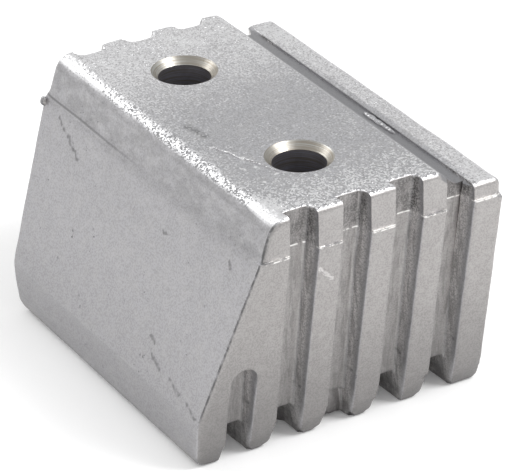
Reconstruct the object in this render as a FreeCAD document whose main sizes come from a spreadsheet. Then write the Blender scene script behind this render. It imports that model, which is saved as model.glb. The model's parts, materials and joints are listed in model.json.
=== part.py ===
"""Sacrificial anode, one casting: a flat mounting plate on top with two countersunk through bores, a sloping
front and six fins that wrap around both ends and the underside.

Frame: +Z up, X along the row of bores, +Y towards the rear. The origin is the middle of the base.
Lengths are millimetres and angles are degrees.
"""

import FreeCAD, Part
import math
import os

import Sketcher

NODE = "anode_block"

# Driving dimensions. The parting line, the valley and the rear fin's top are measured down from the plate, and
# other heights up from the base. The places called front, and that of the short groove, are distances behind the
# front crease. Those called rear, the ramp's foot and the first groove are distances in front of the rear face.
# The width at the plate says how much narrower the plate is than the parting line, and the core's width says how
# much narrower the core is than the plate.
SIZES = {
    "depth": 55.3,
    "plate_height": 44.3,
    "parting_height": 6.8,
    "parting_ledge": 0.4,
    "crease_height": 9.2,
    "front_at_base": 0.45,
    "front_at_parting": 9.35,
    "front_at_plate": 11.85,
    "rear_at_base": 0.2,
    "plate_rear_edge": 12.35,
    "ramp_foot": 7.55,
    "valley_height": 4.35,
    "rear_fin_front": 5.75,
    "rear_fin_height": 3.9,
    "width": 71.0,
    "width_at_plate": 0.7,
    "side_draft": 7.6,
    "corner_start": 4.3,
    "corner_radius": 10.0,
    "fin_pitch": 9.8,
    "groove_count": 4,
    "first_groove": 38.05,
    "groove_floor": 4.5,
    "core_width": 4.5,
    "core_draft": 6.5,
    "core_base": 5.6,
    "end_wall_draft": 14.5,
    "hidden_wall_draft": 1.5,
    "base_wall_draft": 7.0,
    "short_groove": 8.05,
    "short_groove_floor": 3.4,
    "short_groove_top": 17.6,
    "bore_spacing": 36.5,
    "bore_row": -0.55,
    "bore_diameter": 9.0,
    "countersink_diameter": 11.4,
    "countersink_angle": 90.0,
    "boss_diameter": 19.0,
    "front_round": 3.4,
    "plate_rear_round": 1.6,
    "ramp_round": 1.2,
    "rear_round": 1.4,
    "base_round": 1.2,
    "front_base_round": 2.6,
    "rim_round": 1.0,
    "corner_round": 0.8,
    "clearance": 5.0,
}

doc = FreeCAD.newDocument("sacrificial_anode")
sheet = doc.addObject("Spreadsheet::Sheet", "dims")
for row, (name, value) in enumerate(SIZES.items(), start=1):
    sheet.set(f"A{row}", name)
    sheet.set(f"B{row}", str(value))
    sheet.setAlias(f"B{row}", name)
doc.recompute()


class Size:
    """A length or an angle: the number that it has now, and the expression over the sheet that gives it."""

    def __init__(self, number, text):
        self.number = number
        self.text = text

    @classmethod
    def of(cls, other):
        return other if isinstance(other, Size) else cls(other, repr(other))

    def __add__(self, other):
        other = Size.of(other)
        return Size(self.number + other.number, f"({self.text} + {other.text})")

    def __sub__(self, other):
        other = Size.of(other)
        return Size(self.number - other.number, f"({self.text} - {other.text})")

    def __mul__(self, other):
        other = Size.of(other)
        return Size(self.number * other.number, f"({self.text} * {other.text})")

    def __truediv__(self, other):
        other = Size.of(other)
        return Size(self.number / other.number, f"({self.text} / {other.text})")

    def __neg__(self):
        return self * -1


def tan(angle):
    """The tangent of an angle in degrees."""
    return Size(math.tan(math.radians(angle.number)), f"tan({angle.text} * 1 deg)")


dim = {name: Size(float(sheet.get(name)), f"dims.{name}") for name in SIZES}
ZERO = Size(0.0, "0")
clear = dim["clearance"]

# Two places closer than this are the same place.
NEAR = 0.001

body = doc.addObject("PartDesign::Body", NODE)
body.Label = NODE


def origin_feature(role):
    """The body's own origin plane or axis with this role."""
    return next(feature for feature in body.Origin.OriginFeatures if feature.Role == role)


side_plane = origin_feature("YZ_Plane")


def new_sketch(name, support, offset=None):
    """A sketch on a plane of the body, or offset from it along the plane's normal."""
    sketch = body.newObject("Sketcher::SketchObject", name)
    sketch.AttachmentSupport = [(support, "")]
    sketch.MapMode = "FlatFace"
    if offset:
        sketch.setExpression(".AttachmentOffset.Base.z", offset.text)
    return sketch


def fix_point(sketch, geometry, end, across, up):
    """Ties an end of a sketch's line or arc, or a circle's centre, to its two distances from the origin."""
    for kind, size in (("DistanceX", across), ("DistanceY", up)):
        index = sketch.addConstraint(Sketcher.Constraint(kind, -1, 1, geometry, end, size.number))
        sketch.setExpression(f"Constraints[{index}]", size.text)


def add_outline(sketch, corners):
    """A closed outline of straight lines through corners, each a pair of sizes."""
    places = [FreeCAD.Vector(across.number, up.number, 0) for across, up in corners]
    count = len(places)
    lines = [Part.LineSegment(places[i], places[(i + 1) % count]) for i in range(count)]
    ids = sketch.addGeometry(lines, False)
    for i, line in enumerate(ids):
        sketch.addConstraint(Sketcher.Constraint("Coincident", line, 2, ids[(i + 1) % count], 1))
        fix_point(sketch, line, 1, *corners[i])
    return ids


def add_circle(sketch, across, up, diameter):
    """A circle tied to its centre and its diameter."""
    centre = FreeCAD.Vector(across.number, up.number, 0)
    circle = sketch.addGeometry(Part.Circle(centre, FreeCAD.Vector(0, 0, 1), diameter.number / 2), False)
    index = sketch.addConstraint(Sketcher.Constraint("Diameter", circle, diameter.number))
    sketch.setExpression(f"Constraints[{index}]", diameter.text)
    fix_point(sketch, circle, 3, across, up)


def add_feature(kind, name, profile, **settings):
    """A feature on a sketch. Sizes among its settings are bound to the sheet, and the rest are set as given."""
    feature = body.newObject(f"PartDesign::{kind}", name)
    feature.Profile = profile
    for key, setting in settings.items():
        if isinstance(setting, Size):
            feature.setExpression(key, setting.text)
        else:
            setattr(feature, key, setting)
    doc.recompute()
    return feature


def round_edges(name, radius, chosen):
    """A fillet of one radius along the edges of the body that the test chooses."""
    base = body.Tip
    edges = [f"Edge{i}" for i, edge in enumerate(base.Shape.Edges, start=1) if chosen(edge)]
    fillet = body.newObject("PartDesign::Fillet", name)
    fillet.Base = (base, edges)
    fillet.setExpression("Radius", radius.text)
    doc.recompute()
    return fillet


def runs_along_x(edge, y, z):
    """Whether an edge is the straight one along X at this place in the side view."""
    ends = [vertex.Point for vertex in edge.Vertexes]
    return all(abs(p.y - y.number) < NEAR and abs(p.z - z.number) < NEAR for p in ends) and len(ends) == 2


# Side view: the block's outline from the base of the sloping front, over the plate, to the rear fin's base.
front_crease = -(dim["depth"] / 2)
rear_face = dim["depth"] / 2
rear_fin_back = rear_face - dim["parting_ledge"]
parting = dim["plate_height"] - dim["parting_height"]
valley = dim["plate_height"] - dim["valley_height"]
rear_fin_top = dim["plate_height"] - dim["rear_fin_height"]
side_view = [
    (front_crease + dim["front_at_base"], ZERO),
    (front_crease, dim["crease_height"]),
    (front_crease + dim["front_at_parting"], parting),
    (front_crease + dim["front_at_parting"] + dim["parting_ledge"], parting),
    (front_crease + dim["front_at_plate"], dim["plate_height"]),
    (rear_face - dim["plate_rear_edge"], dim["plate_height"]),
    (rear_face - dim["ramp_foot"], valley),
    (rear_face - dim["rear_fin_front"], valley),
    (rear_face - dim["rear_fin_front"], rear_fin_top),
    (rear_fin_back, rear_fin_top),
    (rear_fin_back, parting),
    (rear_face, parting),
    (rear_face - dim["rear_at_base"], ZERO),
]
side_sketch = new_sketch("side_view", side_plane)
add_outline(side_sketch, side_view)
add_feature("Pad", "blank", side_sketch, Length=dim["width"] + clear * 2, Midplane=True)

round_edges("front_shoulder", dim["front_round"], lambda e: runs_along_x(e, *side_view[4]))
round_edges("plate_rear_shoulder", dim["plate_rear_round"], lambda e: runs_along_x(e, *side_view[5]))
round_edges("ramp_root", dim["ramp_round"], lambda e: runs_along_x(e, *side_view[6]))
round_edges("rear_shoulder", dim["rear_round"], lambda e: runs_along_x(e, *side_view[9]))
round_edges("front_base", dim["front_base_round"], lambda e: runs_along_x(e, *side_view[0]))
round_edges("rear_base", dim["base_round"], lambda e: runs_along_x(e, *side_view[12]))


# End view: each end stands back above the parting line, leans inwards below it and curls under the base.
# The sketch is the waste beyond one end, and the other end mirrors it.
end_sketch = new_sketch("end_waste", origin_feature("XZ_Plane"))
end_half = dim["width"] / 2
plate_half = end_half - dim["width_at_plate"] / 2
knee = (end_half - tan(dim["side_draft"]) * (parting - dim["corner_start"]), dim["corner_start"])
waste_far = end_half + clear * 3
waste_top = dim["plate_height"] + clear
lean = math.radians(dim["side_draft"].number)
radius = dim["corner_radius"].number
curl_middle = (knee[0].number - radius * math.cos(lean), knee[1].number + radius * math.sin(lean))
curl_centre = FreeCAD.Vector(*curl_middle, 0)
curl = Part.Circle(curl_centre, FreeCAD.Vector(0, 0, 1), radius)
foot = FreeCAD.Vector(curl_centre.x + math.sqrt(radius**2 - curl_centre.y**2), 0, 0)
corners = [
    knee,
    (end_half, parting),
    (end_half - dim["parting_ledge"], parting),
    (plate_half, dim["plate_height"]),
    (plate_half, waste_top),
    (waste_far, waste_top),
    (waste_far, -clear),
]
places = [FreeCAD.Vector(across.number, up.number, 0) for across, up in corners]
places += [FreeCAD.Vector(foot.x, -clear.number, 0), foot]
sides = [Part.LineSegment(a, b) for a, b in zip(places, places[1:])]
ids = list(end_sketch.addGeometry(sides, False))
arc = end_sketch.addGeometry(Part.ArcOfCircle(curl, -math.asin(curl_centre.y / radius), -lean), False)
for line, following in zip(ids, ids[1:]):
    end_sketch.addConstraint(Sketcher.Constraint("Coincident", line, 2, following, 1))
for line, (across, up) in zip(ids, corners):
    fix_point(end_sketch, line, 1, across, up)
end_sketch.addConstraint(Sketcher.Constraint("Vertical", ids[-1]))
end_sketch.addConstraint(Sketcher.Constraint("Horizontal", ids[-2]))
end_sketch.addConstraint(Sketcher.Constraint("PointOnObject", ids[-1], 2, -1))
end_sketch.addConstraint(Sketcher.Constraint("Coincident", ids[-1], 2, arc, 1))
end_sketch.addConstraint(Sketcher.Constraint("Tangent", arc, 2, ids[0], 1))
index = end_sketch.addConstraint(Sketcher.Constraint("Radius", arc, radius))
end_sketch.setExpression(f"Constraints[{index}]", dim["corner_radius"].text)
trim = add_feature("Pocket", "end_trim", end_sketch, Type="ThroughAll", Midplane=True)


def add_mirrored(name, originals):
    """The same features on the other end."""
    mirrored = body.newObject("PartDesign::Mirrored", name)
    mirrored.Originals = originals
    mirrored.MirrorPlane = (side_plane, [""])
    body.Tip = mirrored
    doc.recompute()
    return mirrored


add_mirrored("far_end_trim", [trim])


# The mould's own corners. The edges are chosen by the middle of the line between their ends.
def on_one_end(edge):
    """Whether an edge lies wholly on one side of the block's middle."""
    return edge.Vertexes[0].Point.x * edge.Vertexes[-1].Point.x > 0


def middle_of(edge):
    """The middle of the line between an edge's ends."""
    return (edge.Vertexes[0].Point + edge.Vertexes[-1].Point) / 2


def is_above_ledge(edge):
    """Whether an edge stands higher than the parting ledge."""
    return middle_of(edge).z > (parting + dim["parting_ledge"] / 2).number


def on_front_rim(edge):
    """The rim of the sloping front's upper part and of the plate at an end, as far as the ramp."""
    ramp_middle = (side_view[5][0] + side_view[6][0]) / 2
    return on_one_end(edge) and is_above_ledge(edge) and middle_of(edge).y < ramp_middle.number


def on_rear_rim(edge):
    """The rim of the rear fin at an end."""
    return on_one_end(edge) and is_above_ledge(edge) and middle_of(edge).y > side_view[7][0].number + NEAR


def on_lower_corner(edge):
    """An upright corner below the parting ledge, where an end meets the front or the rear."""
    heights = [vertex.Point.z for vertex in edge.Vertexes]
    below = max(heights) < parting.number + NEAR
    upright = max(heights) - min(heights) > dim["parting_ledge"].number + NEAR
    return on_one_end(edge) and below and upright


round_edges("front_rims", dim["rim_round"], on_front_rim)
round_edges("rear_rims", dim["rim_round"], on_rear_rim)
round_edges("lower_corners", dim["corner_round"], on_lower_corner)


first_groove = rear_face - dim["first_groove"]
short_groove = front_crease + dim["short_groove"]


def set_row(pattern):
    """Repeats along the row of fins."""
    pattern.Direction = (origin_feature("Y_Axis"), [""])
    pattern.setExpression("Occurrences", dim["groove_count"].text)
    pattern.setExpression("Length", (dim["fin_pitch"] * (dim["groove_count"] - 1)).text)
    doc.recompute()


# Grooves. Each runs down one end, under the base and up the other end, with drafted walls. This plane is
# the leaning end of the core, which is the grooves' floor there.
core_end = body.newObject("PartDesign::Plane", "core_end")
core_end.AttachmentSupport = [(side_plane, "")]
core_end.MapMode = "FlatFace"
core_half = plate_half - dim["core_width"] / 2
core_end_foot = core_half - tan(dim["core_draft"]) * dim["plate_height"]
core_end.AttachmentOffset = FreeCAD.Placement(
    FreeCAD.Vector(0, 0, core_end_foot.number),
    FreeCAD.Rotation(FreeCAD.Vector(1, 0, 0), dim["core_draft"].number),
)
core_end.setExpression(".AttachmentOffset.Base.z", core_end_foot.text)
core_end.setExpression(".AttachmentOffset.Rotation.Angle", dim["core_draft"].text)


def add_end_groove(name, add_floor):
    """A loft from the groove's floor on the core's end to its wider section outside the casting."""
    floor = new_sketch(f"{name}_floor", core_end)
    add_floor(floor, ZERO)
    mouth = new_sketch(f"{name}_mouth", core_end, clear)
    add_floor(mouth, clear)
    return add_feature("SubtractiveLoft", name, floor, Sections=[mouth], Ruled=True)


def add_base_groove(name, centre, floor):
    """A slot across the base, as deep as the core's base and wider at its mouth."""
    flare = tan(dim["base_wall_draft"]) * (dim["core_base"] + clear)
    corners = [
        (centre - floor / 2, dim["core_base"]),
        (centre + floor / 2, dim["core_base"]),
        (centre + floor / 2 + flare, -clear),
        (centre - floor / 2 - flare, -clear),
    ]
    section = new_sketch(f"{name}_section", side_plane)
    add_outline(section, corners)
    return add_feature("Pocket", name, section, Type="ThroughAll", Midplane=True)


def add_full_floor(sketch, height):
    """The section of a groove that opens at the plate, at a height over its floor."""
    front = first_groove - dim["groove_floor"] / 2 - tan(dim["hidden_wall_draft"]) * height
    rear = first_groove + dim["groove_floor"] / 2 + tan(dim["end_wall_draft"]) * height
    add_outline(sketch, [(front, -clear), (rear, -clear), (rear, waste_top), (front, waste_top)])


def add_short_floor(sketch, height):
    """The section of the short groove, which ends in a half circle under the sloping front."""
    reach = dim["short_groove_floor"] / 2 + tan(dim["end_wall_draft"]) * height
    front = short_groove - reach
    rear = short_groove + reach
    top = dim["short_groove_top"] - dim["short_groove_floor"] / 2
    corners = [(front, top), (front, -clear), (rear, -clear), (rear, top)]
    places = [FreeCAD.Vector(across.number, up.number, 0) for across, up in corners]
    ids = list(sketch.addGeometry([Part.LineSegment(a, b) for a, b in zip(places, places[1:])], False))
    centre = FreeCAD.Vector(short_groove.number, top.number, 0)
    end = Part.ArcOfCircle(Part.Circle(centre, FreeCAD.Vector(0, 0, 1), reach.number), 0, math.pi)
    arc = sketch.addGeometry(end, False)
    for line, following in zip(ids, ids[1:] + [arc]):
        sketch.addConstraint(Sketcher.Constraint("Coincident", line, 2, following, 1))
    for line, (across, up) in zip(ids, corners):
        fix_point(sketch, line, 1, across, up)
    fix_point(sketch, ids[-1], 2, *corners[-1])
    sketch.addConstraint(Sketcher.Constraint("Tangent", arc, 2, ids[0], 1))


end_groove = add_end_groove("end_groove", add_full_floor)
end_grooves = body.newObject("PartDesign::MultiTransform", "end_grooves")
end_grooves.Originals = [end_groove]
both_ends = body.newObject("PartDesign::Mirrored", "both_ends")
both_ends.MirrorPlane = (side_plane, [""])
end_row = body.newObject("PartDesign::LinearPattern", "end_row")
end_grooves.Transformations = [both_ends, end_row]
body.Tip = end_grooves
set_row(end_row)

base_groove = add_base_groove("base_groove", first_groove, dim["groove_floor"])
base_row = body.newObject("PartDesign::LinearPattern", "base_row")
base_row.Originals = [base_groove]
body.Tip = base_row
set_row(base_row)

short_end = add_end_groove("short_end_groove", add_short_floor)
add_mirrored("far_short_end_groove", [short_end])
add_base_groove("short_base_groove", short_groove, dim["short_groove_floor"])


# Bores, each in a round boss that stands between the fins and ends level with them.
def add_at_bores(sketch, diameter):
    """A circle on each bore's axis."""
    for side in (1, -1):
        add_circle(sketch, dim["bore_spacing"] / 2 * side, dim["bore_row"], diameter)


base_plane = origin_feature("XY_Plane")
boss_sketch = new_sketch("boss_roots", base_plane, dim["core_base"])
add_at_bores(boss_sketch, dim["boss_diameter"])
add_feature("Pad", "bosses", boss_sketch, Length=dim["core_base"], Reversed=True)

bore_sketch = new_sketch("bore_axes", base_plane, dim["plate_height"])
add_at_bores(bore_sketch, dim["bore_diameter"])
add_feature(
    "Hole",
    "bores",
    bore_sketch,
    DepthType="ThroughAll",
    Diameter=dim["bore_diameter"],
    HoleCutType="Countersink",
    HoleCutCustomValues=True,
    HoleCutDiameter=dim["countersink_diameter"],
    HoleCutCountersinkAngle=dim["countersink_angle"],
)

failed = [item.Name for item in doc.Objects if {"Invalid", "Error"} & set(item.State)]
if failed:
    raise RuntimeError(f"failed: {failed}")
if body.Shape.isNull() or not body.Shape.isValid() or len(body.Shape.Solids) != 1:
    raise RuntimeError(f"{NODE} is not one valid solid")
os.makedirs("parts", exist_ok=True)
body.Shape.exportStep(f"parts/{NODE}.step")
print(f"{NODE}: {body.Shape.Volume / 1000:.2f} cm3, {body.Shape.BoundBox}")
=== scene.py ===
# %% [markdown]
# # A cast sacrificial anode
# The object is one lump of soft grey metal, cast in a mould of two halves and then drilled. It has no separate
# pieces, so the whole lesson is about one surface: how to soften the edges of a modelled casting, and how to give
# each side the finish that the mould and the drill left on it. The packed CAD model is loaded first and is never
# changed. Its box is measured now.

# %% Load the frame
import json
import math
import bmesh
import bpy
from mathutils import Matrix, Vector, noise


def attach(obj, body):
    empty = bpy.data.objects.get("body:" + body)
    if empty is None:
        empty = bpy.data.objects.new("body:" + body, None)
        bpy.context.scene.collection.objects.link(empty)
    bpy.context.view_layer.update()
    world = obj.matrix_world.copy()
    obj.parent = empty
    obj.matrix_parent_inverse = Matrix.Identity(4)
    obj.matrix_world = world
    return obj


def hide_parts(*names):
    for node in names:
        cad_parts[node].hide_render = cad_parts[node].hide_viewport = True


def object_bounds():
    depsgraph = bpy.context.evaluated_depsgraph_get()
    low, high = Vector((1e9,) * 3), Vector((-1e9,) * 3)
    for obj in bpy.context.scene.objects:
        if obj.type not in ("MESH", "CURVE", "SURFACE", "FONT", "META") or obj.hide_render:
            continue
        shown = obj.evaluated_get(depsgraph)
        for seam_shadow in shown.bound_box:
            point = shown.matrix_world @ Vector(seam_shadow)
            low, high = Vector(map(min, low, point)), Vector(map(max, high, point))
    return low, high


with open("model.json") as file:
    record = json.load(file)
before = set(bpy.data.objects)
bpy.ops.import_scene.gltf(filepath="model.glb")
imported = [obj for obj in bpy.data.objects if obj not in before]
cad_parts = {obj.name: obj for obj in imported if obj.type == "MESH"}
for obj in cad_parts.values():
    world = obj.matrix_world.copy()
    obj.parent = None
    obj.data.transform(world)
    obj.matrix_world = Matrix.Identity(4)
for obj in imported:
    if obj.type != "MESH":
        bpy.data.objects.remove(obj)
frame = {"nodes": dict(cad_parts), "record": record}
cad_low, cad_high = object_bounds()
MM = 0.001
print("CAD box, mm:", [round(v / MM, 2) for v in cad_high - cad_low])

# %% [markdown]
# The drilled bores and the plate are read from the record's mounts, so every later value that depends on them
# follows the CAD model. The parting line is where the two halves of the mould met: the metal stands back a little
# above it. The other landmarks are distances on the casting itself.

# %% Landmarks on the casting
mounts = {mount["name"]: mount for mount in frame["record"]["mounts"]}
BORES = [Vector(mounts[name]["pos_m"]) for name in ("bore_left", "bore_right")]
BORE_RADIUS = mounts["bore_left"]["dims"]["r_mm"] * MM
PLATE = Vector(mounts["mounting_plate"]["pos_m"])
PARTING = PLATE.z - 6.8 * MM
COUNTERSINK_RADIUS = 5.7 * MM
print("bores at, mm:", [[round(v / MM, 2) for v in bore] for bore in BORES])

# %% [markdown]
# The photograph looks down on the corner between the sloping front and the finned end, with a long lens. The
# camera stands on that line of sight. Its aim is given as a shift across and up from the middle of the plate,
# which is easier to tune than a target point, because each of the two numbers moves the picture one way.

# %% Camera
AZIMUTH = math.radians(58.883)
ELEVATION = math.radians(28.934)
ROLL = math.radians(-0.213)
DISTANCE = 552.04 * MM
AIM_RIGHT = 2.38 * MM
AIM_UP = -20.33 * MM
LENS = 237.8
SENSOR_WIDTH = 36

level = Vector((math.cos(AZIMUTH), math.sin(AZIMUTH), 0))
back = Vector((math.sin(AZIMUTH), -math.cos(AZIMUTH), 0)) * math.cos(ELEVATION) + Vector((0, 0, math.sin(ELEVATION)))
upright = back.cross(level)
right = level * math.cos(ROLL) + upright * math.sin(ROLL)
up = upright * math.cos(ROLL) - level * math.sin(ROLL)
camera_data = bpy.data.cameras.new("camera")
camera_data.lens = LENS
camera_data.sensor_width = SENSOR_WIDTH
camera_data.clip_start = 0.01
camera_data.clip_end = 10
camera = bpy.data.objects.new("camera", camera_data)
bpy.context.scene.collection.objects.link(camera)
eye = PLATE + back * DISTANCE + right * AIM_RIGHT + up * AIM_UP
camera.matrix_world = Matrix.Translation(eye) @ Matrix((right, up, back)).transposed().to_4x4()
bpy.context.scene.camera = camera
print("camera at:", [round(v, 3) for v in eye])

# %% [markdown]
# The casting starts as a copy of the CAD mesh, which comes as loose triangles. They are merged, and the flat ones
# are joined into whole faces. Each sharp edge is then one edge again and can take a bevel.

# %% Merge the copy
MERGE = 0.002 * MM
FLAT = math.radians(0.4)

shell = bmesh.new()
shell.from_mesh(frame["nodes"]["anode_block"].data)
bmesh.ops.remove_doubles(shell, verts=shell.verts, dist=MERGE)
bmesh.ops.dissolve_limit(shell, angle_limit=FLAT, verts=shell.verts, edges=shell.edges)
print("whole faces:", len(shell.faces))

# %% [markdown]
# Moulded metal has no knife edges: the mould's own corners are broken, and the metal draws in as it sets. A bevel
# in three steps rounds each moulded edge. The edges that the drill cut, and the thin ledge at the parting line,
# stay sharp. A Bevel modifier with a weight on each edge could do it too, but it leaves spikes at the feet, where
# many edges meet.

# %% Bevel the edges
SHARP = math.radians(18)
BEVEL = 0.42 * MM
SHORTEST = 0.8 * MM


def axis_distance(point):
    """The distance of a point from the axis of the nearest bore."""
    return min(math.hypot(point.x - bore.x, point.y - bore.y) for bore in BORES)


def is_fine(edge):
    """Whether an edge was drilled, or belongs to the ledge at the parting line."""
    heights = [vert.co.z for vert in edge.verts]
    on_ledge = max(heights) - min(heights) < 0.02 * MM and abs(heights[0] - PARTING) < 0.05 * MM
    return on_ledge or max(axis_distance(vert.co) for vert in edge.verts) < COUNTERSINK_RADIUS + 0.05 * MM


moulded = [edge for edge in shell.edges if edge.is_manifold and edge.calc_face_angle(0) > SHARP
           and edge.calc_length() > SHORTEST and not is_fine(edge)]
bmesh.ops.bevel(shell, geom=moulded, offset=BEVEL, offset_type="OFFSET", segments=3, profile=0.5, affect="EDGES",
                clamp_overlap=False)
print("moulded edges:", len(moulded), "faces after the bevel:", len(shell.faces))

# %% [markdown]
# Evenly spaced planes then slice the faces into small cells. The cells give the surface enough points to be worn
# and to wander by a few hundredths of a millimetre, as a casting does, while the drilled bores stay true.

# %% Slice the faces into cells
CELL = 1.1 * MM


def slice_along(axis, low, high):
    """Cuts the whole shell with evenly spaced planes across one axis."""
    count = max(2, round((high - low) / CELL))
    normal = Vector((0, 0, 0))
    normal[axis] = 1
    for i in range(1, count):
        place = normal * (low + (high - low) * i / count)
        everything = list(shell.verts) + list(shell.edges) + list(shell.faces)
        bmesh.ops.bisect_plane(shell, geom=everything, plane_co=place, plane_no=normal, dist=0.001 * MM)


for axis in range(3):
    slice_along(axis, cad_low[axis], cad_high[axis])
print("cells:", len(shell.faces), "open edges:", sum(not edge.is_manifold for edge in shell.edges))

# %% [markdown]
# Some places are rounder than any bevel: the feet of the fins, where the mould was deepest and most worn, the
# notches at the far end, the rear corners of the ledge, and the fold where the front crosses the parting line.
# There the cells are drawn towards the middle of their neighbours a few times, which wears the corners down as
# years of use wear a mould. Each call takes its points afresh, because the call before it has moved some.

# %% Wear the feet, the notches and the fold
FIN_PITCH = 9.8 * MM
FIN_MIDDLE = 5.3 * MM


def wear(chosen, passes):
    """Draws the chosen points towards their neighbours, again and again."""
    chosen = list(chosen)
    for _ in range(passes):
        bmesh.ops.smooth_vert(shell, verts=chosen, factor=0.5, use_axis_x=True, use_axis_y=True, use_axis_z=True)
    print("points worn:", len(chosen))


def feet(beyond_x, below_z, before_y=30):
    """The points of both ends past a distance from the middle, below a height and in front of a depth, in mm."""
    return (v for v in shell.verts
            if abs(v.co.x) > beyond_x * MM and v.co.z < below_z * MM and v.co.y < before_y * MM)


def fold(low_x, high_x):
    """The points beside the fold in the front, between two places along it in mm."""
    return (v for v in shell.verts
            if abs(v.co.z - PARTING) < 1.4 * MM and v.co.y < -15 * MM and low_x * MM < v.co.x < high_x * MM)


wear(feet(25.5, 6), 2)
wear(feet(26.5, 4.5), 5)
wear((v for v in feet(27, 3.2) if (v.co.y + FIN_MIDDLE) % FIN_PITCH < 0.45 * FIN_PITCH), 9)
wear(feet(26.5, 10.5, before_y=-24.5), 8)
wear((v for v in shell.verts if v.co.x < -30.3 * MM and v.co.z > 37 * MM), 9)
wear(fold(-33, 33.5), 4)
wear(fold(-14, 33.5), 5)
wear((v for v in shell.verts
      if abs(v.co.z - PARTING) < 0.9 * MM and v.co.y > 26.2 * MM and abs(v.co.x) > 34.4 * MM), 6)

# %% [markdown]
# No cast face is quite flat. Noise of two sizes moves each point along its normal, and adds a little ragged metal
# along the parting line of the ends. The drilled faces and the base keep their places, because other parts touch
# them. The noise is a function of the place alone, so the same surface comes out every time.

# %% Let the surface wander
BROAD = 0.09
NARROW = 0.05
LIP = 0.22


def smooth_step(low, high, value):
    """Rises from 0 to 1 between two values."""
    t = min(1, max(0, (value - low) / (high - low)))
    return t * t * (3 - 2 * t)


def wander(point, sideways):
    """How far the cast surface lies off its true place here."""
    broad = noise.noise(point / (9 * MM))
    narrow = noise.noise(point / (2.6 * MM) + Vector((7, 3, 5)))
    lip = math.exp(-(((point.z - PARTING) / (0.5 * MM)) ** 2))
    flash = max(0, noise.noise(point / (1.7 * MM) + Vector((2, 9, 4))) + 0.15)
    return (BROAD * broad + NARROW * narrow + LIP * lip * flash * sideways) * MM


shell.normal_update()
for vert in shell.verts:
    cast_here = smooth_step(0.3 * MM, 1.5 * MM, axis_distance(vert.co) - COUNTERSINK_RADIUS)
    above_base = smooth_step(0.1 * MM, 1.5 * MM, vert.co.z)
    vert.co += vert.normal * wander(vert.co, abs(vert.normal.x)) * cast_here * above_base
print("points of the cast skin:", len(shell.verts))

# %% [markdown]
# Metal crept into the gap between the two halves of the mould and froze there. It left a nub at the far end of the
# fold, a long sliver on the ridge behind the plate, crumbs down the near corner and a scar on a fin. Beside the near
# bore, two streams of metal met and left a low ripple on the plate. Each is a row of small rough lumps, sunk by half
# into the casting, which is how such metal sits there.


# %% Flash and ripple left by the pour
def add_lump(place, size, along=(1, 0, 0)):
    """A rough lump of the given half sizes in mm, its first one along a direction."""
    turn = Vector(along).to_track_quat("X", "Z").to_matrix().to_4x4()
    matrix = Matrix.Translation(Vector(place) * MM) @ turn @ Matrix.Diagonal((*(s * MM for s in size), 1))
    lump = bmesh.ops.create_icosphere(shell, subdivisions=3, radius=1, matrix=matrix)
    for vert in lump["verts"]:
        vert.co += (vert.co - Vector(place) * MM) * 0.25 * noise.noise(vert.co / (0.9 * MM))


add_lump((-34.6, -18.8, 36.3), (0.85, 0.7, 0.8))
for i in range(3):
    drift = noise.noise(Vector((i * 0.7, 3, 1)))
    add_lump((6.0 + 2.4 * i, 21.2, 40.0), (2.4, 0.55 + 0.3 * drift, 0.42), (1, 0.02, 0))
for i in range(6):
    drift = noise.noise(Vector((i * 0.9, 8, 2)))
    add_lump((35.15 - 0.1 * i, -17.6 + 0.25 * i + 0.5 * drift, 37.2 - 0.8 * i), (0.3, 0.25, 0.45), (1, 0, 0.2))
add_lump((34.66, -6.2, 32.7), (1.3, 0.35, 0.4), (-0.13, 0.62, -0.78))
add_lump((34.5, -4.9, 31.3), (0.9, 0.3, 0.35), (-0.13, 0.75, -0.65))
for i in range(7):
    drift = noise.noise(Vector((i * 0.8, 5, 6)))
    share = i / 6
    add_lump((9.4 + 11.5 * share, -10.4 + 4.2 * share + 0.8 * drift, 44.28), (1.2, 0.3, 0.2), (1, 0.36 + drift, 0))
print("faces with the flash:", len(shell.faces))

# %% [markdown]
# The shell becomes the one piece of the scene, and stands for the CAD node. Its faces are shaded smooth, apart from
# the edges that are still sharp. It carries three materials by the places of the faces, because the countersinks and
# the bores were cut by tools after the metal was cast.

# %% Write the piece
CREASE_ANGLE = math.radians(40)
CAST, MACHINED, BORED = range(3)

casting_mesh = bpy.data.meshes.new("anode_casting")
casting = bpy.data.objects.new("anode_casting", casting_mesh)
bpy.context.scene.collection.objects.link(casting)
for edge in shell.edges:
    edge.smooth = not (edge.is_manifold and edge.calc_face_angle(0) > CREASE_ANGLE)
for face in shell.faces:
    face.smooth = True
    centre = face.calc_center_median()
    if axis_distance(centre) < BORE_RADIUS + 0.03 * MM:
        face.material_index = BORED
    elif axis_distance(centre) < COUNTERSINK_RADIUS and centre.z < PLATE.z - 0.01 * MM:
        face.material_index = MACHINED
    else:
        face.material_index = CAST
shell.to_mesh(casting_mesh)
shell.free()
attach(casting, "root")
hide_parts("anode_block")
print("triangles:", sum(len(p.vertices) - 2 for p in casting_mesh.polygons))

# %% [markdown]
# A material is a graph of nodes, and each finish below is a mask (a value from 0 to 1) that lays one colour over
# another. A small class keeps that short: it adds a node and links it in one call. Its main call is `rise`, a soft
# step between two limits, because almost every mask here is a product of such steps.


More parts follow.
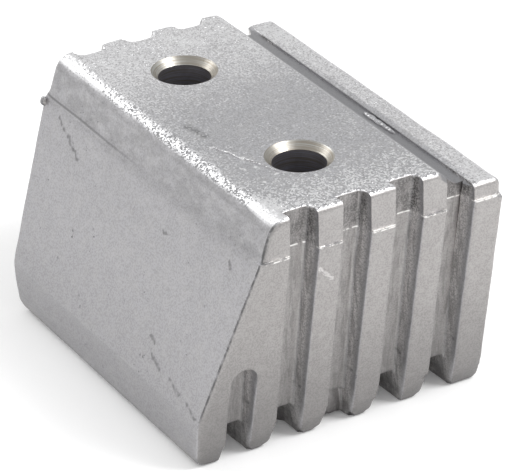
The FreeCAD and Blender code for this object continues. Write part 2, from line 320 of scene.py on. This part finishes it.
# %% Node helpers
class Graph:
    """A material whose nodes are added by short calls."""

    def __init__(self, name):
        self.material = bpy.data.materials.new(name)
        self.material.use_nodes = True
        self.tree = self.material.node_tree
        self.shader = self.tree.nodes["Principled BSDF"]
        self.colour = None

    def node(self, kind, inputs=(), **settings):
        """Adds a node, sets it up, and links or fills its inputs by their names or numbers."""
        node = self.tree.nodes.new(kind)
        for key, value in settings.items():
            setattr(node, key, value)
        for key, value in dict(inputs).items():
            self.feed(node.inputs[key], value)
        return node

    def feed(self, socket, value):
        """Links an output into a socket, or writes a constant there."""
        if isinstance(value, bpy.types.NodeSocket):
            self.tree.links.new(value, socket)
        else:
            socket.default_value = value

    def math(self, operation, a, b=0.0, c=0.0):
        """One sum of up to three values."""
        return self.node("ShaderNodeMath", {0: a, 1: b, 2: c}, operation=operation).outputs[0]

    def add(self, a, b):
        return self.math("ADD", a, b)

    def less(self, a, b):
        return self.math("SUBTRACT", a, b)

    def times(self, first, *others):
        """The product of some values."""
        for other in others:
            first = self.math("MULTIPLY", first, other)
        return first

    def most(self, first, *others):
        """The greatest of some values."""
        for other in others:
            first = self.math("MAXIMUM", first, other)
        return first

    def shift(self, value, factor, start):
        """The value times a factor, counted from a start."""
        return self.math("MULTIPLY_ADD", value, factor, start)

    def rise(self, value, low, high, low_out=0.0, high_out=1.0):
        """Rises smoothly from one value to another between two limits, or falls if the limits are swapped."""
        inputs = {"Value": value, "From Min": low, "From Max": high, "To Min": low_out, "To Max": high_out}
        return self.node("ShaderNodeMapRange", inputs, interpolation_type="SMOOTHSTEP").outputs["Result"]

    def mix(self, factor, a, b):
        """A colour between two colours."""
        node = self.node("ShaderNodeMix", {"Factor": factor}, data_type="RGBA")
        self.feed(node.inputs[6], a)
        self.feed(node.inputs[7], b)
        return node.outputs[2]

    def paint(self, colour, *masks):
        """Lays a colour over the colour so far, where all the masks are high."""
        self.colour = self.mix(self.times(*masks), self.colour, colour)

    def noise(self, vector, size, detail=2.0, roughness=0.5):
        """Cloudy noise whose patches are about the given size in millimetres."""
        inputs = {"Vector": vector, "Scale": 1 / size, "Detail": detail, "Roughness": roughness}
        return self.node("ShaderNodeTexNoise", inputs).outputs["Fac"]

    def reach(self, a, b, start, end):
        """The distance of the place (a, b) from a line between two points."""
        run = (end[0] - start[0], end[1] - start[1])
        da = self.less(a, start[0])
        db = self.less(b, start[1])
        share = self.rise(self.add(self.times(da, run[0]), self.times(db, run[1])), 0.0, run[0] ** 2 + run[1] ** 2)
        da = self.less(da, self.times(share, run[0]))
        db = self.less(db, self.times(share, run[1]))
        return self.math("SQRT", self.add(self.times(da, da), self.times(db, db)))

    def scaled(self, vector, x, y, z):
        """The vector with each part multiplied."""
        node = self.node("ShaderNodeVectorMath", operation="MULTIPLY")
        self.feed(node.inputs[0], vector)
        node.inputs[1].default_value = (x, y, z)
        return node.outputs[0]

    def place(self):
        """The place on the object in millimetres, and the way that the surface faces."""
        outputs = self.node("ShaderNodeTexCoord").outputs
        return self.scaled(outputs["Object"], 1 / MM, 1 / MM, 1 / MM), outputs["Normal"]


print("graph calls:", [name for name in vars(Graph) if not name.startswith("_")])

# %% [markdown]
# The cast skin is one material, because it is one metal. What differs is the wall that each region lay against, so
# the graph first finds out where a point is and which way it faces. The front and the ends are sloping planes, and a
# point's distance from them tells the outer faces from the floors and walls of the grooves.

# %% Tell the regions of the skin apart
FRONT_SLOPE = 0.33
FRONT_FOOT_Z = 9.2
FRONT_FOOT_Y = -27.65
END_SLOPE = 0.133
END_X = 35.5
plate = PLATE.z / MM
parting = PARTING / MM

g = Graph("cast_metal")
mm, facing = g.place()
x, y, z = g.node("ShaderNodeSeparateXYZ", {0: mm}).outputs
nx, ny, nz = g.node("ShaderNodeSeparateXYZ", {0: facing}).outputs

upward = g.rise(nz, 0.55, 0.9)
on_top = g.times(upward, g.rise(z, plate - 4.3, plate - 3.8))
forward = g.rise(ny, -0.25, -0.6)
sideways = g.rise(g.math("ABSOLUTE", nx), 0.5, 0.8)
upright_here = g.rise(nz, 0.6, 0.3)

from_front = g.less(y, g.shift(g.less(z, FRONT_FOOT_Z), FRONT_SLOPE, FRONT_FOOT_Y))
end_wall = g.shift(g.math("MINIMUM", g.less(z, parting), 0.0), END_SLOPE, END_X)
depth = g.less(end_wall, g.math("ABSOLUTE", x))
recess = g.times(g.rise(depth, 0.5, 1.9), g.rise(depth, 11.0, 8.0), upright_here,
                 g.rise(from_front, 2.5, 3.5), g.rise(y, 27.0, 26.0))
print("nodes so far:", len(g.tree.nodes))

# %% [markdown]
# A few patterns are shared by all the finishes. Voronoi cells a quarter of a millimetre wide are the crystals of the
# metal. The noises are its unevenness: fine ones for the sand-blasted mould, broad ones for the patches in which the
# metal set, and long ones down the grooves, where the casting slid out of the mould.

# %% Patterns of the metal
CRYSTALS_PER_MM = 3.7

grain = g.node("ShaderNodeTexVoronoi", {"Vector": mm, "Scale": CRYSTALS_PER_MM, "Randomness": 1.0})
grain_tone = g.node("ShaderNodeSeparateColor", {0: grain.outputs["Color"]}).outputs[0]
patches = g.noise(mm, 7.0, 3.0, 0.6)
middle = g.noise(mm, 1.8, 3.0, 0.6)
specks = g.noise(mm, 0.6, 3.0, 0.7)
fine = g.noise(mm, 0.3, 1.5, 0.5)
mottle = g.noise(g.scaled(mm, 0.6, 1, 1), 2.4, 4.0, 0.7)
streaks = g.noise(g.scaled(mm, 1, 1, 0.12), 0.7, 2.0, 0.6)
print("nodes so far:", len(g.tree.nodes))

# %% [markdown]
# The plate was the open, slowly setting side, so its crystals grew large. Their glints are painted highlights:
# near-white colour laid on single crystals. They are calm in the middle and lively towards both ends, on the
# shoulder, on the rear fin and in a painted pool of highlight at the near corner of the shoulder. A crystal gets a
# painted glint where its own random tone is above a limit, and each region lowers that limit.

# %% Painted glints on the crystals
CALM = 0.93
PAINTED_GLINT_PATCHES = [((-28.5, 13.5), (-14.0, 13.2)), ((-31.0, 3.0), (-25.0, 7.0))]

ragged_ny = g.shift(g.less(g.noise(mm, 3.2, 3.0, 0.65), 0.5), 0.9, ny)
shoulder = g.times(g.rise(nz, 0.5, 0.75), g.rise(ragged_ny, -0.06, -0.35))
far = g.rise(x, 2.0, -30.0)
near = g.rise(x, 18.0, 33.0)
rear = g.rise(y, 22.8, 23.3)
crystals_and_sheen = g.most(far, rear)
lively = g.most(crystals_and_sheen, near, shoulder)
highlight_pool = g.times(g.rise(x, 25.5, 30.5), g.rise(y, -11.2, -13.0))

glints = [(far, 0.4), (rear, 0.2)]
for begin, finish in PAINTED_GLINT_PATCHES:
    edge = g.add(g.reach(x, y, begin, finish), g.times(middle, 2.0))
    glints.append((g.rise(edge, 3.4, 1.4), 0.32))
glints += [(near, 0.38), (g.less(patches, 0.5), 0.6), (shoulder, 0.3), (g.rise(y, -8.5, -14.0), 0.2), (highlight_pool, 0.6)]
calm = CALM
for mask, drop in glints:
    calm = g.shift(mask, -drop, calm)
# The mask of the painted glints: crystals whose random tone is above the limit, on the plate.
painted_glint = g.times(g.rise(g.less(grain_tone, calm), 0.0, 0.05), on_top, g.shift(lively, 0.45, 0.45))
print("nodes so far:", len(g.tree.nodes))

# %% [markdown]
# The colours of a metal are how much light it mirrors. The front is a little brighter and bluer than the ends. The
# groove walls that face the front get a much paler colour, which is painted light that lifts them out of the
# grooves' shade. Towards the far end and on the rear fin the plate is paler, partly for its larger crystals and
# partly as a painted sheen. Dark grains, pale clouds and the streaks down the grooves are laid over them.

# %% Colours of the sides
FRONT_METAL = (0.438, 0.432, 0.448, 1)
END_METAL = (0.415, 0.398, 0.392, 1)
PAINTED_LIGHT_GROOVE_METAL = (0.98, 0.96, 0.95, 1)
PLATE_METAL = (0.57, 0.57, 0.59, 1)
CRYSTAL_AND_SHEEN_METAL = (0.79, 0.785, 0.8, 1)

walls = g.mix(sideways, FRONT_METAL, END_METAL)
# Painted light: the groove walls that face the front get a pale colour that lifts them out of the grooves' shade.
walls = g.mix(g.times(recess, g.rise(ny, -0.72, -0.92)), walls, PAINTED_LIGHT_GROOVE_METAL)
# Towards the far end and on the rear fin the plate gets the paler colour, partly its larger crystals and partly a
# painted sheen.
g.colour = g.mix(upward, walls, g.mix(crystals_and_sheen, PLATE_METAL, CRYSTAL_AND_SHEEN_METAL))
g.paint((0.25, 0.245, 0.24, 1), g.rise(fine, 0.42, 0.62), g.shift(sideways, 0.05, 0.42))
g.paint((0.6, 0.59, 0.58, 1), g.rise(middle, 0.4, 0.7, 0.0, 0.2))
g.paint((0.2, 0.195, 0.19, 1), recess, g.rise(streaks, 0.45, 0.62, 0.0, 0.4))
print("nodes so far:", len(g.tree.nodes))

# %% [markdown]
# The rounded shoulder between plate and front is dull between its bright crystals. Below it, the band of the front
# above the parting line lay in the upper half of the mould, which left it mottled. The lower front is smooth and has
# only small pits.

# %% Shoulder, upper band and pits
tarnish = g.rise(g.add(grain_tone, g.noise(mm, 2.5, 2.0, 0.6)), 1.2, 0.8, 0.2, 0.65)
g.paint((0.24, 0.24, 0.245, 1), shoulder, tarnish)

upper_band = g.times(forward, g.rise(from_front, 1.5, 0.8), g.rise(z, parting - 1.0, parting + 1.0))
g.paint((0.62, 0.62, 0.63, 1), upper_band, g.rise(mottle, 0.5, 0.66, 0.0, 0.14))
g.paint((0.2, 0.2, 0.2, 1), upper_band, g.rise(mottle, 0.6, 0.36, 0.05, 0.34))

pits = g.times(g.rise(g.noise(mm, 0.9, 2.0, 0.6), 0.33, 0.27), g.rise(patches, 0.5, 0.62))
g.paint((0.1, 0.1, 0.1, 1), pits, forward, 0.75)
print("nodes so far:", len(g.tree.nodes))

# %% [markdown]
# Some marks are the casting's own: short dark lines on the front where the mould's coating broke, a pale scar on a
# fin and a smudge on the plate. The bright lines along the ripple where two streams of metal met are painted
# highlights. Each runs between two points, given in millimetres on its own face. Noise frays it, because a mark
# drawn with a ruler would not look like a flaw. They lie in the material, because they are much shallower than the
# cells of the mesh.

# %% Marks on the front, on a fin and on the plate
FRONT_MARKS = [
    ((-34.6, 36.5), (-34.3, 36.1), 0.8), ((-28.8, 35.7), (-26.4, 34.4), 0.5), ((-25.0, 34.0), (-22.6, 32.7), 0.6),
    ((-22.0, 32.6), (-20.4, 31.7), 0.45), ((8.6, 31.4), (9.6, 31.7), 0.6), ((27.5, 34.8), (28.2, 34.2), 0.6),
    ((15.0, 13.3), (17.5, 12.4), 0.7), ((13.0, 16.0), (14.5, 15.4), 0.5), ((21.0, 12.2), (24.5, 11.2), 0.6),
    ((27.0, 10.9), (30.2, 9.8), 0.5),
]
RIPPLE_HIGHLIGHTS = [((8.5, -10.6), (14.0, -9.0)), ((14.5, -9.2), (21.5, -6.4)), ((12.0, -11.4), (23.0, -9.8))]
SCAR = ((-7.0, 33.4), (-4.7, 31.0))
SMUDGE = ((0.0, -10.6), (4.5, -10.0))


def frayed(a, b, line, fray, outer, inner):
    """A mask that is high within a ragged distance of a line."""
    return g.rise(g.add(g.reach(a, b, *line), g.times(specks, fray)), outer, inner)


bent_x = g.shift(g.less(g.noise(mm, 1.6), 0.5), 2.6, x)
for begin, finish, width in FRONT_MARKS:
    mark = frayed(bent_x, z, (begin, finish), 2.2 * width, 2.0 * width, 1.3 * width)
    g.paint((0.09, 0.09, 0.09, 1), mark, forward, 0.55)
g.paint((0.9, 0.88, 0.87, 1), frayed(y, z, SCAR, 0.5, 0.75, 0.5), sideways, g.rise(x, 30.0, 31.0), 0.4)
g.paint((0.12, 0.12, 0.12, 1), frayed(x, y, SMUDGE, 2.4, 2.3, 1.2), on_top, 0.6)
bent_y = g.shift(g.less(g.noise(mm, 3.0), 0.5), 4.0, y)
# Painted highlights along the ripple where two streams of metal met.
for begin, finish in RIPPLE_HIGHLIGHTS:
    g.paint((1.0, 1.0, 1.0, 1), g.rise(g.reach(x, bent_y, begin, finish), 0.45, 0.2), g.rise(specks, 0.35, 0.5),
            on_top, 0.8)
print("marks on the front:", len(FRONT_MARKS), "flow lines:", len(RIPPLE_HIGHLIGHTS))

# %% [markdown]
# The undersides and the lower ends of the grooves get painted shade, and the grooves above the parting line are
# darker in patches. The painted glints are laid on now. The painted shade in the trough behind the plate comes after
# them, because the trough is smooth and has none.

# %% Painted shade below and in the grooves, darker upper grooves, painted glints and the shaded trough
# Painted shade on the downward-facing roundings near the base.
g.paint((0.07, 0.07, 0.07, 1), g.rise(nz, -0.1, -0.5, 0.0, 0.35), g.rise(z, 6.0, 4.0))
# Patchy painted shade at the lower ends of the grooves.
g.paint((0.13, 0.12, 0.12, 1), recess, g.rise(z, 4.5, 1.5), g.rise(mottle, 0.35, 0.6, 0.4, 0.8))
# The grooves above the parting line are darker in patches.
g.paint((0.14, 0.135, 0.135, 1), recess, g.rise(z, parting - 0.2, parting + 0.6),
        g.rise(fine, 0.35, 0.6, 0.3, 0.75), g.rise(g.noise(mm, 2.0), 0.35, 0.6, 0.4, 1.0))
# Painted glints: near-white colour on single crystals where the lamps would catch them.
g.paint((0.97, 0.97, 0.98, 1), painted_glint)

# Painted shade in the trough behind the plate, left off the sliver of flash.
sliver = g.times(g.rise(z, 40.1, 40.2), g.rise(y, 20.3, 20.6), g.rise(y, 21.9, 21.7))
shaded_trough = g.times(g.rise(y, 15.2, 15.8), g.rise(y, 22.3, 21.7), g.less(1.0, sliver),
                 g.rise(nz, 0.1, 0.3), g.rise(z, 36.0, 38.0))
g.paint((0.26, 0.26, 0.27, 1), shaded_trough, 0.8)
print("nodes so far:", len(g.tree.nodes))

# %% [markdown]
# The last layers follow the form. The sides are a little darker towards the base and the front corner. Painted shade
# darkens the roots of the grooves, and painted shadow draws dark lines along the seam in the corner between front
# and end and along the fold in the front. A painted highlight brightens the ledge at the parting line, but not
# everywhere.

# %% Shade, painted shade in the roots, painted shadow on the seam and fold, and the highlight on the ledge
shade = g.add(g.rise(z, 26.0, -2.0, 0.0, 0.2), g.times(sideways, g.rise(z, 30.0, 0.0, 0.0, 0.24)))
shade = g.add(shade, g.times(sideways, g.rise(y, -2.0, -24.0, 0.0, 0.12)))
g.paint((0.12, 0.118, 0.118, 1), shade, upright_here)

# Painted shade in the roots of the grooves.
root = g.times(g.rise(nx, 0.96, 0.86), g.rise(nx, 0.25, 0.4), recess, g.rise(ny, -0.2, -0.35))
g.paint((0.14, 0.14, 0.14, 1), root, 0.2)

# Painted shadow along the seam in the corner between front and end.
seam_shadow = g.times(g.rise(nx, 0.3, 0.45), g.rise(nx, 0.8, 0.62), g.rise(ny, -0.3, -0.5),
                 g.rise(from_front, 1.9, 1.5), g.rise(z, 8.5, 11.0))
g.paint((0.08, 0.08, 0.08, 1), seam_shadow, g.rise(g.noise(mm, 1.2), 0.3, 0.6, 0.4, 0.85))

# Painted shadow in the fold where the front crosses the parting line, stronger towards the far end.
from_parting = g.math("ABSOLUTE", g.less(z, parting))
g.paint((0.12, 0.12, 0.12, 1), g.rise(from_parting, 0.24, 0.06), forward, g.rise(x, 2.0, -20.0, 0.0, 0.6))

# Painted highlight in patches on the ledge at the parting line of the ends and the groove sides.
on_ledge = g.times(g.rise(z, parting - 0.3, parting - 0.1), g.rise(z, parting + 0.15, parting + 0.02))
on_ends = g.most(g.rise(depth, 1.2, 0.8), g.times(sideways, recess))
ledge_highlight_patches = g.times(g.rise(from_front, 0.8, 1.2), g.rise(g.noise(mm, 0.9), 0.4, 0.52))
g.paint((0.98, 0.97, 0.95, 1), on_ledge, on_ends, ledge_highlight_patches, 0.8)
g.feed(g.shader.inputs["Base Color"], g.colour)
g.feed(g.shader.inputs["Metallic"], 1.0)
print("nodes so far:", len(g.tree.nodes))

# %% [markdown]
# The skin scatters light as fine sand-blasting does, less on the painted glints and more on the shoulder and in the
# shaded trough. Its relief is a shallow bump of the fine noises. Each crystal also leans its own way, so that it
# catches the lamps on its own.

# %% Roughness and relief
roughness = g.shift(g.less(middle, 0.5), 0.2, 0.46)
roughness = g.less(roughness, g.times(painted_glint, 0.2))
roughness = g.add(roughness, g.times(g.most(shoulder, shaded_trough), 0.2))
g.feed(g.shader.inputs["Roughness"], roughness)

facets = g.times(grain_tone, g.times(on_top, 0.8))
height = g.add(g.times(fine, g.rise(forward, 0.0, 1.0, 1.0, 0.35)), facets)
height = g.add(height, g.times(middle, 0.8))
bump = g.node("ShaderNodeBump", {"Height": height, "Strength": 0.5, "Distance": 0.07 * MM})
tilt = g.times(on_top, g.shift(lively, 0.4, 0.2))
lean = g.node("ShaderNodeVectorMath", {0: grain.outputs["Color"], 1: (0.5, 0.5, 0.5)}, operation="SUBTRACT")
lean = g.node("ShaderNodeVectorMath", {0: lean.outputs[0], 3: tilt}, operation="SCALE")
normal = g.node("ShaderNodeVectorMath", {0: bump.outputs[0], 1: lean.outputs[0]}, operation="ADD")
normal = g.node("ShaderNodeVectorMath", {0: normal.outputs[0]}, operation="NORMALIZE")
g.feed(g.shader.inputs["Normal"], normal.outputs[0])
casting_mesh.materials.append(g.material)
print("nodes of the cast skin:", len(g.tree.nodes))

# %% [markdown]
# The countersinks and the bores are bare metal that a drill cut, so they have fine rings round their axis. The rings
# are noise that changes quickly with height and hardly at all across it. The bore mirrors less than the countersink,
# because its wall was not finished with a second tool.


# %% The machined countersink and the bored wall
def turned(name, colour, roughness):
    """Bare metal with fine rings left by a drill."""
    graph = Graph(name)
    place, _ = graph.place()
    rings = graph.noise(graph.scaled(place, 0.1, 0.1, 9), 1.0, 2.0, 0.6)
    ringed = graph.mix(graph.rise(rings, 0.35, 0.65), colour, (0.3, 0.27, 0.23, 1))
    graph.feed(graph.shader.inputs["Base Color"], ringed)
    graph.feed(graph.shader.inputs["Metallic"], 1.0)
    graph.feed(graph.shader.inputs["Roughness"], roughness)
    relief = graph.node("ShaderNodeBump", {"Height": rings, "Strength": 0.35, "Distance": 0.05 * MM})
    graph.feed(graph.shader.inputs["Normal"], relief.outputs[0])
    return graph.material


casting_mesh.materials.append(turned("machined_countersink", (0.43, 0.43, 0.41, 1), 0.38))
casting_mesh.materials.append(turned("bored_wall", (0.44, 0.44, 0.52, 1), 0.45))
print("materials:", [material.name for material in casting_mesh.materials])

# %% [markdown]
# The casting stands on a sheet of white paper, as in a product picture. The paper gives off a trace of light, which
# keeps it pale under the soft lamps without washing out the shadow.

# %% Floor
FLOOR_HALF = 4

floor_mesh = bpy.data.meshes.new("studio_floor")
floor_shell = bmesh.new()
bmesh.ops.create_grid(floor_shell, x_segments=1, y_segments=1, size=FLOOR_HALF)
floor_shell.to_mesh(floor_mesh)
floor_shell.free()
floor = bpy.data.objects.new("studio_floor", floor_mesh)
bpy.context.scene.collection.objects.link(floor)
paper = Graph("white_paper")
paper.feed(paper.shader.inputs["Base Color"], (0.95, 0.95, 0.95, 1))
paper.feed(paper.shader.inputs["Roughness"], 0.9)
paper.feed(paper.shader.inputs["Emission Color"], (1, 1, 1, 1))
paper.feed(paper.shader.inputs["Emission Strength"], 0.07)
floor_mesh.materials.append(paper.material)
print("floor, m:", list(floor.dimensions))

# %% [markdown]
# The studio is a wide soft light overhead, with others in front and beyond the near end, in a bright room. The
# rounded upper edges and the front shoulder mirror the overhead light, which is what draws them in white.


# %% Lamps
def add_softbox(name, place, width, power):
    """A square lamp with a flat face that looks at the casting."""
    lamp = bpy.data.lights.new(name, "AREA")
    lamp.shape = "RECTANGLE"
    lamp.size = width
    lamp.size_y = width
    lamp.energy = power
    box = bpy.data.objects.new(name, lamp)
    bpy.context.scene.collection.objects.link(box)
    box.location = place
    box.rotation_euler = (PLATE - Vector(place)).to_track_quat("-Z", "Y").to_euler()
    print(name, power, "W at", place)


add_softbox("overhead_softbox", (-0.55, -0.3, 0.5), 0.35, 1.7)
add_softbox("edge_softbox", (0.33, 0.33, 0.55), 0.25, 3.0)
add_softbox("front_softbox", (0.3, -0.9, 0.5), 0.5, 1.9)

world = bpy.data.worlds.new("studio_air")
bpy.context.scene.world = world
world.use_nodes = True
air = world.node_tree.nodes["Background"]
air.inputs["Color"].default_value = (1, 1, 1, 1)
air.inputs["Strength"].default_value = 0.7
bpy.context.scene.view_settings.view_transform = "Standard"

# %% [markdown]
